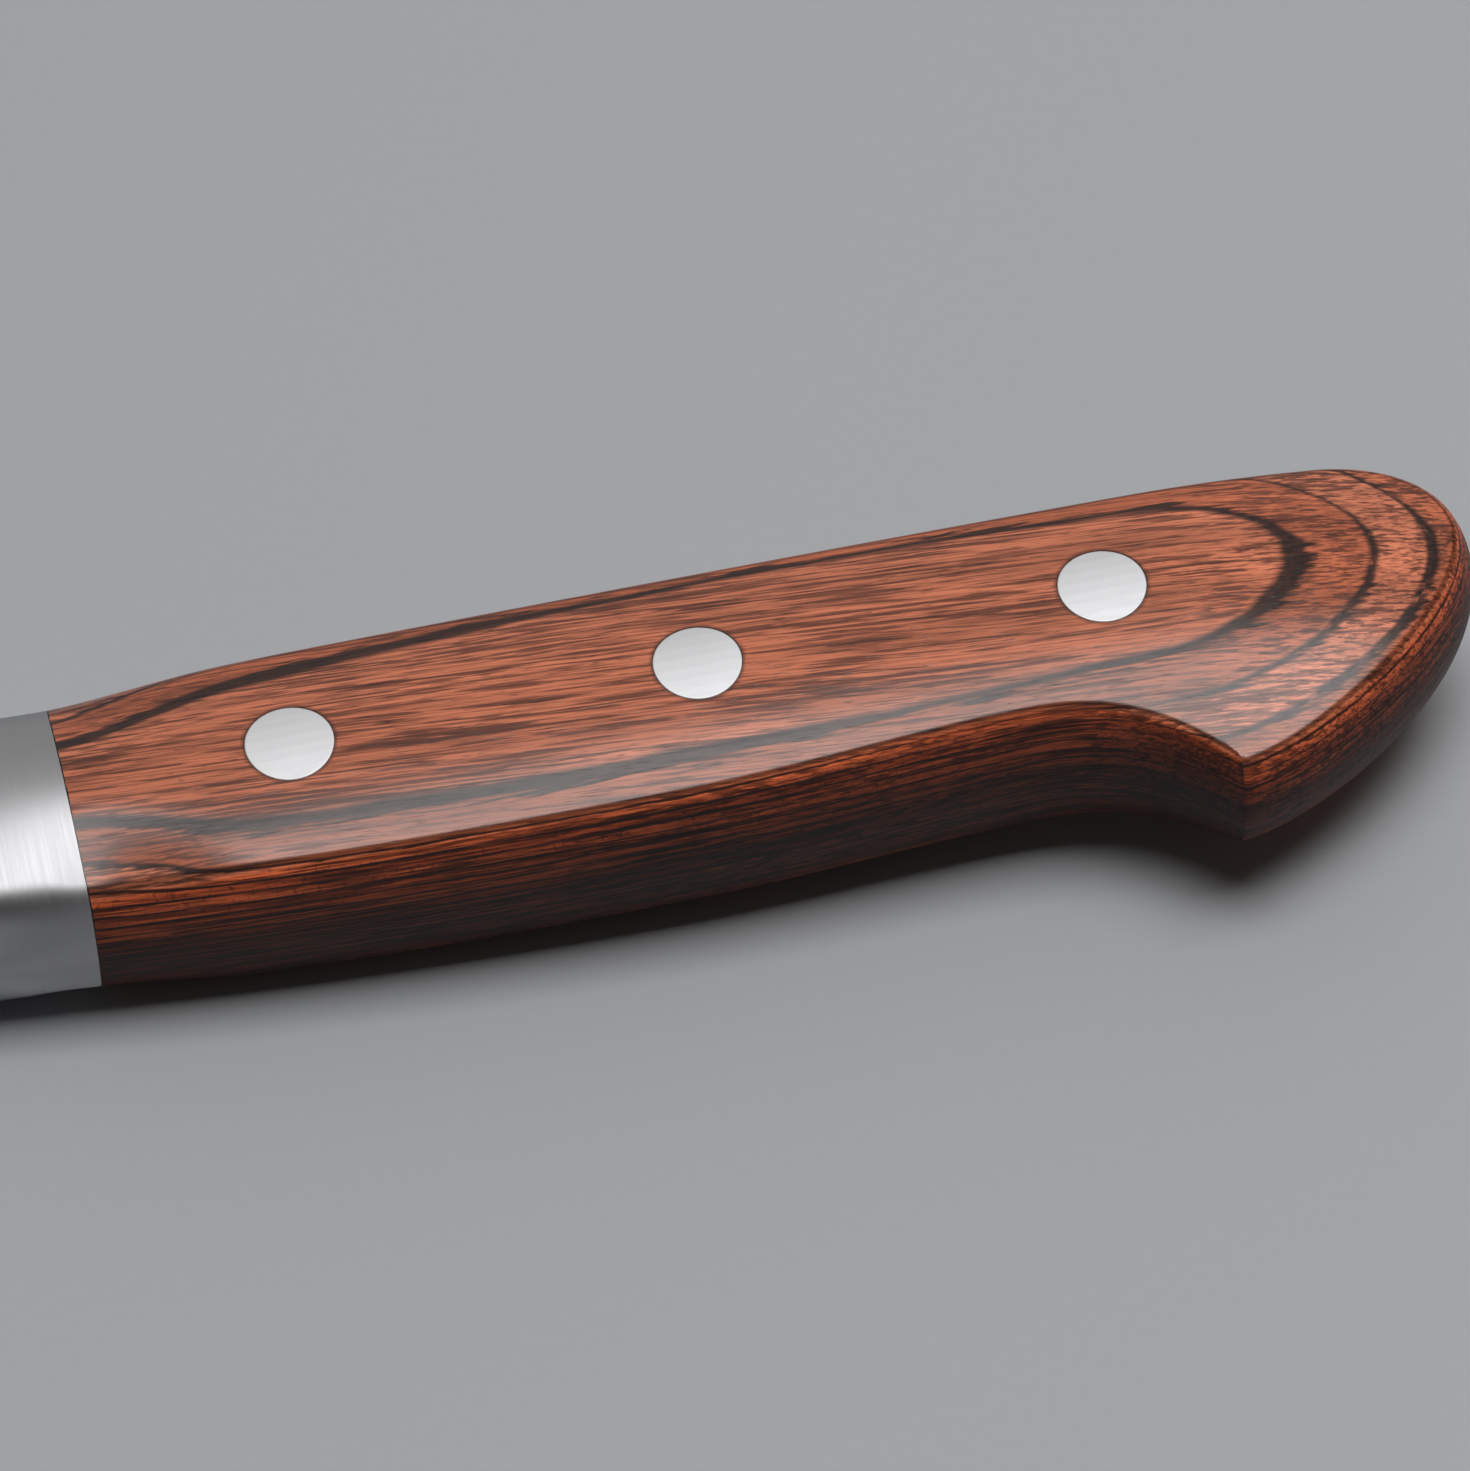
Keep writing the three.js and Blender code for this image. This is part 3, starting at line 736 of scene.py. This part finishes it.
# Glue lines under both faces: their mask, where the first one is, and the number of each ply
def gluePlies(tree, place, plan, slow, near):
    x, y, z = place
    bleed = streaks(tree, plan, *woodMarks["bleed"])
    warp = scaled(tree, slow, wood["slowWarp"], -(wood["slowWarp"] + wood["nearWarp"]) / 2)
    warp = scaled(tree, near, wood["nearWarp"], warp)
    warp = calc(tree, "ADD", warp, scaled(tree, y, wood["plyTilt"], -wood["plyTilt"] * wood["plyAxis"]))
    top = calc(tree, "ADD", warp, grip["thickness"] / 2 - wood["firstLine"])
    below = calc(tree, "SUBTRACT", top, calc(tree, "ABSOLUTE", z))  # under the first glue line
    share = calc(tree, "DIVIDE", below, wood["ply"])
    nearest = calc(tree, "MAXIMUM", calc(tree, "ROUND", share), 0.0)
    first = calc(tree, "LESS_THAN", nearest, 0.5)
    off = scaled(tree, nearest, -wood["ply"], below)
    half = lineHalf(tree, x, y, nearest, first)
    run = scaled(tree, first, wood["firstBleed"] - wood["bleed"], wood["bleed"])
    patch = calc(tree, "MAXIMUM", streaks(tree, plan, *woodMarks["patch"]), first)
    run = times(tree, run, bleed, patch)  # the glue runs into the ply under it
    over = calc(tree, "MAXIMUM", times(tree, off, -1.0), calc(tree, "SUBTRACT", off, run))
    glue = step(tree, calc(tree, "SUBTRACT", over, half), wood["lineSoft"], -wood["lineSoft"])
    return glue, first, calc(tree, "MAXIMUM", calc(tree, "FLOOR", share), -1.0)


# Where the dark streaks gather along the grain
def crowding(tree, x, y, grain):
    crowd = streaks(tree, grain, *woodMarks["crowd"], plain=True)
    for atX, atY, halfLength, halfWidth, amount in wood["gather"]:
        offX = calc(tree, "DIVIDE", calc(tree, "SUBTRACT", x, atX), halfLength)
        offY = calc(tree, "DIVIDE", calc(tree, "SUBTRACT", y, atY), halfWidth)
        away = vector(tree, "LENGTH", joined(tree, offX, offY, 0.0))
        crowd = scaled(tree, step(tree, away, *wood["gatherEdge"]), amount, crowd)
    return crowd


def darkStreaks(tree, grain, crowd, name):
    low = scaled(tree, crowd, -wood["gatherPull"], wood[name + "From"])
    return streaks(tree, grain, *woodMarks[name], low, calc(tree, "ADD", low, wood[name + "Rise"]))


# Dyed plies with their streaks and pores
def plyColour(tree, place, grain, ply):
    x, y, _ = place
    crowd = crowding(tree, x, y, grain)
    bold, thin = [darkStreaks(tree, grain, crowd, name) for name in ("bold", "thin")]
    hair, pores, bands = [streaks(tree, grain, *woodMarks[name]) for name in ("hair", "pores", "bands")]
    turn = calc(tree, "COSINE", scaled(tree, ply, *wood["plyTurn"]))
    colour = mixed(tree, scaled(tree, turn, 0.5, 0.5), wood["red"], wood["orange"])
    paler = scaled(tree, step(tree, x, *wood["buttPale"]), wood["buttGain"], 1.0)
    colour = shaded(tree, colour, times(tree, scaled(tree, bands, *wood["toneSpan"]), paler))
    for mark, share in ((hair, "hairShare"), (bold, "boldShare"), (thin, "thinShare")):
        colour = mixed(tree, times(tree, mark, wood[share]), colour, wood["streak"])
    return mixed(tree, times(tree, pores, wood["poreShare"]), colour, wood["pore"]), bold, pores


# Light on the walls: where they are, how dark, and the lit band along their top
def wallLight(tree, x, z):
    facing = parts(tree, put(tree, "ShaderNodeTexCoord").outputs["Normal"])
    upright = calc(tree, "ABSOLUTE", facing[2])
    wall = step(tree, upright, *wood["wallLean"])
    atJoint = step(tree, x, *wood["jointX"])
    gain = scaled(tree, atJoint, wood["jointGain"], wood["wallGain"] - wood["darkShare"])
    lit = scaled(tree, step(tree, z, *wood["darkZ"]), gain, wood["darkShare"] - 1)
    tone = scaled(tree, lit, wall, 1.0)
    hollow = times(tree, step(tree, facing[0], *wood["hollowLean"]), wall)
    rim = between(tree, upright, *wood["rimLean"])
    band = times(tree, between(tree, upright, *wood["bandLean"]), step(tree, x, *wood["bandX"]))
    for mask, amount in ((hollow, -wood["hollowShare"]), (rim, -wood["rimShare"]), (band, wood["bandGain"])):
        tone = times(tree, tone, scaled(tree, mask, amount, 1.0))
    return wall, tone, band


# Fine dark lines of the cut plies on the walls
def wallLines(tree, x, z, grain, wall, band):
    lines, ticks = [streaks(tree, grain, *woodMarks[name]) for name in ("lines", "ticks")]
    ticks = times(tree, ticks, step(tree, z, *wood["tickZ"]), step(tree, x, *wood["tickX"]))
    lines = calc(tree, "MAXIMUM", lines, times(tree, ticks, wood["tickShare"]))
    return times(tree, lines, wall, wood["lineShare"], scaled(tree, band, -wood["bandClear"], 1.0))


# Dark ring round each rivet head
def rivetRing(tree, x, y, near):
    gap = rivetPlaces[1] - rivetPlaces[0]
    along = calc(tree, "DIVIDE", calc(tree, "SUBTRACT", x, rivetPlaces[0]), gap)
    number = calc(tree, "MAXIMUM", calc(tree, "ROUND", along), 0.0)
    number = calc(tree, "MINIMUM", number, len(rivetPlaces) - 1)
    along = times(tree, calc(tree, "SUBTRACT", along, number), gap)
    away = calc(tree, "SUBTRACT", vector(tree, "LENGTH", joined(tree, along, y, 0.0)), rivet["head"] / 2)
    away = scaled(tree, near, wood["ringWave"], calc(tree, "SUBTRACT", away, wood["ringWave"] / 2))
    return times(tree, step(tree, away, wood["ring"], 0.0), wood["ringShare"])


def woodMaterial():
    material, tree, shader, spot = newMaterial("laminatedWood")
    x, y, z = place = parts(tree, spot)
    plan = joined(tree, x, y, 0.0)
    slow, near = [streaks(tree, plan, *woodMarks[name], plain=True) for name in ("slow", "near")]
    glue, first, ply = gluePlies(tree, place, plan, slow, near)
    across = scaled(tree, ply, wood["plyShift"][1], scaled(tree, x, wood["grainLean"], y))
    across = scaled(tree, slow, wood["grainWave"], across)
    grain = joined(tree, scaled(tree, ply, wood["plyShift"][0], x), across, z)
    colour, bold, pores = plyColour(tree, place, grain, ply)
    # painted light and shade on the walls: darker downwards, a dark line along their edge and a lit band
    # under it
    wall, tone, band = wallLight(tree, x, z)
    colour = mixed(tree, wallLines(tree, x, z, grain, wall, band), colour, wood["line"])
    colour = mixed(tree, rivetRing(tree, x, y, near), colour, wood["streak"])
    colour = mixed(tree, wall, shaded(tree, colour, tone), wood["wallTint"], "MULTIPLY")
    broken = streaks(tree, grain, *woodMarks["broken"])
    glue = times(tree, glue, calc(tree, "MAXIMUM", broken, first))
    colour = mixed(tree, times(tree, glue, wood["glueShare"]), colour, wood["glue"])
    seam = step(tree, calc(tree, "SUBTRACT", x, times(tree, near, wood["seamWave"])), *wood["seam"])
    colour = mixed(tree, seam, colour, wood["glue"])
    rough = scaled(tree, wall, wood["wallRough"], scaled(tree, bold, wood["boldRough"], wood["rough"]))
    height = scaled(tree, pores, -wood["poreDepth"], times(tree, glue, -wood["glueDepth"]))
    feed(tree, shader, Base_Color=colour, Roughness=rough, Specular_IOR_Level=wood["specular"],
         Normal=bumped(tree, height, wood["relief"], wood["reliefShare"]))
    return material


# Steels: the same brushed finish, with its own grain direction and shine

steels = {
    "bolster": {
        "colour": (0.6, 0.6, 0.612), "rough": 0.6, "perMm": (6.0, 0.1, 0.1), "depth": 0.0012,
        "contrast": 0.06, "stretch": 0.75,  # brushed across the knife, so its highlights spread along it
    },
    "rivet": {
        "colour": (0.62, 0.62, 0.63), "rough": 0.6, "perMm": (0.35, 5.0, 5.0), "depth": 0.0008,
        "contrast": 0.05,
    },
    "cladding": {
        "colour": (0.5, 0.505, 0.515), "rough": 0.56, "perMm": (5.0, 0.1, 0.1), "depth": 0.0015,
        "contrast": 0.12,
    },
    "core": {
        "colour": (0.55, 0.56, 0.575), "rough": 0.42, "perMm": (0.08, 5.0, 5.0), "depth": 0.001,
        "contrast": 0.06,
    },
}
brush = {
    "lineDetail": 5.0, "span": (0.3, 0.7), "lineRough": 0.06, "bump": 0.6, "level": 0.98,
    "cloud": ((0.12, 0.12, 0.12), 2.0), "cloudShade": 0.04, "cloudRough": 0.015,
}


def steelMaterial(name):
    steel = steels[name]
    material, tree, shader, spot = newMaterial(name + "Steel")
    lines = streaks(tree, spot, steel["perMm"], brush["lineDetail"], *brush["span"])
    cloud = streaks(tree, spot, *brush["cloud"], *brush["span"])
    shade = scaled(tree, lines, steel["contrast"], brush["level"] - steel["contrast"] / 2)
    colour = shaded(tree, (*steel["colour"], 1), scaled(tree, cloud, brush["cloudShade"], shade))
    rough = scaled(tree, lines, brush["lineRough"], steel["rough"] - brush["lineRough"] / 2)
    rough = scaled(tree, cloud, brush["cloudRough"], rough)
    feed(tree, shader, Base_Color=colour, Roughness=rough, Metallic=1.0,
         Normal=bumped(tree, lines, steel["depth"], brush["bump"]))
    if "stretch" in steel:
        along = put(tree, "ShaderNodeTangent", direction_type="RADIAL", axis="Y").outputs[0]
        feed(tree, shader, Anisotropic=steel["stretch"], Tangent=along)
    return material


cladding = steelMaterial("cladding")
finishes = [
    (handleWood, woodMaterial()), (bolster, steelMaterial("bolster")), (bladeCore, steelMaterial("core")),
    (bladeLeft, cladding), (bladeRight, cladding),
]
for piece, finish in finishes:
    piece.data.materials.append(finish)
print("materials", len(bpy.data.materials))


# Rivet heads: set flush into both faces by a ray on to the grip

def rivetTree():
    tree, given, result = newGroup("rivetHeads", "GeometryNodeTree", [
        ("Places", "Geometry"), ("Surface", "Object"), ("Finish", "Material"), ("Middle", "Float"),
        ("Head", "Float"), ("Depth", "Float"), ("Rim", "Float"), ("Sides", "Int"), ("Rings", "Int"),
    ], [("Heads", "Geometry")])
    tree.is_modifier = True
    rim, radius = given["Rim"], times(tree, given["Head"], 0.5)
    disc = put(tree, "GeometryNodeMeshCylinder", {
        "Vertices": given["Sides"], "Side Segments": 1, "Fill Segments": given["Rings"],
        "Radius": radius, "Depth": given["Depth"],
    }, fill_type="TRIANGLE_FAN").outputs["Mesh"]
    kept = put(tree, "GeometryNodeCaptureAttribute", {0: disc})
    kept.capture_items.new("VECTOR", "local")
    position = put(tree, "GeometryNodeInputPosition").outputs[0]
    tree.links.new(position, kept.inputs[1])
    disc, local = kept.outputs[0], kept.outputs[1]
    placed = put(tree, "GeometryNodeInstanceOnPoints", {"Points": given["Places"], "Instance": disc})
    heads = put(tree, "GeometryNodeRealizeInstances", {0: placed.outputs[0]}).outputs[0]
    localX, localY, localZ = parts(tree, local)
    centreX, centreY, centreZ = parts(tree, vector(tree, "SUBTRACT", position, local))
    side = calc(tree, "SIGN", calc(tree, "SUBTRACT", centreZ, given["Middle"]))
    away = vector(tree, "LENGTH", joined(tree, localX, localY, 0.0))
    inner = calc(tree, "SUBTRACT", 1.0, calc(tree, "DIVIDE", away, radius))
    inner = calc(tree, "POWER", inner, rivet["rimGather"])  # the rings gather at the rim
    spread = times(tree, radius, calc(tree, "SUBTRACT", 1.0, inner))
    ratio = calc(tree, "DIVIDE", spread, calc(tree, "MAXIMUM", away, 1e-9))
    x, y = scaled(tree, localX, ratio, centreX), scaled(tree, localY, ratio, centreY)
    above = scaled(tree, side, rivet["rayUp"] * mm, given["Middle"])
    surface = put(tree, "GeometryNodeObjectInfo", {"Object": given["Surface"]}).outputs["Geometry"]
    hit = put(tree, "GeometryNodeRaycast", {
        "Target Geometry": surface, "Source Position": joined(tree, x, y, above),
        "Ray Direction": joined(tree, 0.0, 0.0, times(tree, side, -1.0)),
        "Ray Length": rivet["rayLength"] * mm,
    }).outputs["Hit Position"]
    rimShare = calc(tree, "ADD", calc(tree, "SUBTRACT", spread, radius), rim)
    rimShare = calc(tree, "MAXIMUM", calc(tree, "DIVIDE", rimShare, rim), 0.0)
    rimShare = calc(tree, "MINIMUM", rimShare, 1.0)
    fall = calc(tree, "SQRT", calc(tree, "SUBTRACT", 1.0, times(tree, rimShare, rimShare)))
    drop = times(tree, rim, calc(tree, "SUBTRACT", 1.0, fall))
    outer = calc(tree, "GREATER_THAN", times(tree, localZ, side), 0.0)
    down = scaled(tree, outer, calc(tree, "SUBTRACT", drop, given["Depth"]), given["Depth"])
    z = calc(tree, "SUBTRACT", parts(tree, hit)[2], times(tree, side, down))
    moved = {"Geometry": heads, "Position": joined(tree, x, y, z)}
    shaped = put(tree, "GeometryNodeSetPosition", moved).outputs[0]
    real = put(tree, "GeometryNodeRealizeInstances", {0: shaped}).outputs[0]
    done = put(tree, "GeometryNodeSetMaterial", {"Geometry": real, "Material": given["Finish"]}).outputs[0]
    tree.links.new(done, result["Heads"])
    return tree


def buildRivets():
    places = [(x, 0, side * grip["thickness"] / 4) for x in rivetPlaces for side in (1, -1)]
    heads = addObject("rivetHeads", meshFrom("rivetHeads", places, []))
    nodes = heads.modifiers.new("rivetHeads", "NODES")
    nodes.node_group = rivetTree()
    wanted = {
        "Surface": gripForm, "Head": rivet["head"] * mm, "Depth": rivet["depth"] * mm,
        "Rim": rivet["rim"] * mm, "Sides": rivet["sides"], "Rings": rivet["rings"],
        "Middle": datum.z, "Finish": steelMaterial("rivet"),
    }
    for socket in nodes.node_group.interface.items_tree:
        if socket.in_out == "INPUT" and socket.name in wanted:
            nodes[socket.identifier] = wanted[socket.name]
    settle(heads)
    smoothShade(heads.data, rivet["sharpAngle"])
    return heads


rivetHeads = buildRivets()
bpy.data.objects.remove(gripForm)
print("rivets", len(rivetHeads.data.polygons))


# Every piece rides on the knife's one body and stands for its CAD nodes

rivetNodes = [
    f"{place}_rivet_{half}" for place in ("front", "middle", "rear") for half in ("socket", "post")
]
pieces = [
    (handleWood, "laminated_wood", ["handle"]),
    (bolster, "bolster_steel", ["left_bolster", "right_bolster"]),
    (rivetHeads, "rivet_steel", rivetNodes),
    (bladeCore, "core_steel", ["core_steel"]),
    (bladeLeft, "cladding_steel", ["left_cladding"]),
    (bladeRight, "cladding_steel", ["right_cladding"]),
]
for piece, slot, nodes in pieces:
    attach(piece, "root")
    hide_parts(*nodes)


# Camera: the knife rests on the bolster's end of the handle and the front of the blade, butt a little up

shot = {
    "lens": 244.73, "sensor": 36, "azimuth": -12.40, "elevation": 50.91, "distance": 772.4,
    "right": -2.91, "up": 5.73,  # of the middle rivet in the picture
    "buttUp": 2.12, "spineUp": 0.51,  # how the knife lies on the floor
}
buttTurn = Matrix.Rotation(math.radians(-shot["buttUp"]), 3, "Y")
spineTurn = Matrix.Rotation(math.radians(shot["spineUp"]), 3, "X")
level = (buttTurn @ spineTurn).transposed()  # from the floor's directions to the knife's


def addCamera():
    azimuth, elevation = math.radians(shot["azimuth"]), math.radians(shot["elevation"])
    flat = math.cos(elevation)
    back = Vector((math.sin(azimuth) * flat, -math.cos(azimuth) * flat, math.sin(elevation)))
    right = Vector((0, 0, 1)).cross(back).normalized()
    up = back.cross(right)
    target = toFrame(rivetPlaces[1], 0, faceHeight(rivetPlaces[1], 0))
    spot = target + level @ (back * shot["distance"] - right * shot["right"] - up * shot["up"]) * mm
    data = bpy.data.cameras.new("camera")
    data.lens, data.sensor_width = shot["lens"], shot["sensor"]
    camera = addObject("camera", data)
    turn = Matrix([level @ right, level @ up, level @ back]).transposed()
    camera.matrix_world = Matrix.Translation(spot) @ turn.to_4x4()
    scene.camera = camera


addCamera()


# Stage: plain floor, one soft panel overhead, a room that is paler behind the knife than in front

stage = {
    "floorSize": 12, "floorColour": (0.385, 0.394, 0.41, 1), "floorRough": 0.6,
    "floorGrain": 900.0, "floorDetail": 2.0, "floorShade": 0.04,
    "panelUp": 1.1, "panelEdges": (-9, 27, -12, 15.5), "panelPower": 9.9,  # left, right, front, back
    "room": 0.05, "wall": 0.5,  # light of the room, and of a pale wall behind the knife
    "wallBack": 48, "wallInner": 20, "wallOuter": 52,  # its lean from overhead and its edge, in degrees
}


def floorMaterial():
    material = bpy.data.materials.new("floorPaint")
    material.use_nodes = True
    tree, shader = material.node_tree, material.node_tree.nodes["Principled BSDF"]
    place = put(tree, "ShaderNodeTexCoord").outputs["Object"]
    grainy = put(tree, "ShaderNodeTexNoise", {
        "Vector": place, "Scale": stage["floorGrain"], "Detail": stage["floorDetail"],
    }).outputs[0]
    shade = scaled(tree, grainy, stage["floorShade"], 1 - stage["floorShade"] / 2)
    colour = shaded(tree, stage["floorColour"], shade)
    feed(tree, shader, Base_Color=colour, Roughness=stage["floorRough"])
    return material


def addFloor():
    normal = level @ Vector((0, 0, 1))
    lowest = min(normal.dot(v.co) for piece, _, _ in pieces for v in piece.data.vertices)
    bpy.ops.mesh.primitive_plane_add(size=stage["floorSize"])
    floor = bpy.context.object
    floor.name = "floor"
    floor.matrix_world = Matrix.Translation(normal * lowest) @ level.to_4x4()
    floor.data.materials.append(floorMaterial())


# Level panel over the handle, from edge to edge in degrees off the vertical
def addPanel():
    aim = toFrame(rivetPlaces[1], 0, 0)
    edges = [math.tan(math.radians(edge)) * stage["panelUp"] for edge in stage["panelEdges"]]
    left, right, front, back = edges
    middle = Vector(((left + right) / 2, (front + back) / 2, stage["panelUp"]))
    data = bpy.data.lights.new("overhead", "AREA")
    data.shape, data.energy = "RECTANGLE", stage["panelPower"]
    data.size, data.size_y = right - left, back - front
    lamp = addObject("overhead", data)
    lamp.matrix_world = Matrix.Translation(aim + level @ middle) @ level.to_4x4()


def addWorld():
    world = bpy.data.worlds.new("studio")
    scene.world = world
    world.use_nodes = True
    tree, background = world.node_tree, world.node_tree.nodes["Background"]
    lean, inner, outer = [math.radians(stage[name]) for name in ("wallBack", "wallInner", "wallOuter")]
    direction = put(tree, "ShaderNodeTexCoord").outputs["Generated"]
    near = vector(tree, "DOT_PRODUCT", direction, (0, math.sin(lean), math.cos(lean)))
    light = put(tree, "ShaderNodeMapRange", {
        "Value": near, "From Min": math.cos(outer), "From Max": math.cos(inner),
        "To Min": stage["room"], "To Max": stage["wall"],
    }, interpolation_type="SMOOTHSTEP").outputs[0]
    feed(tree, background, Color=(1, 1, 1, 1), Strength=light)


addFloor()
addPanel()
addWorld()
scene.view_settings.view_transform = "Standard"
print("stage set")
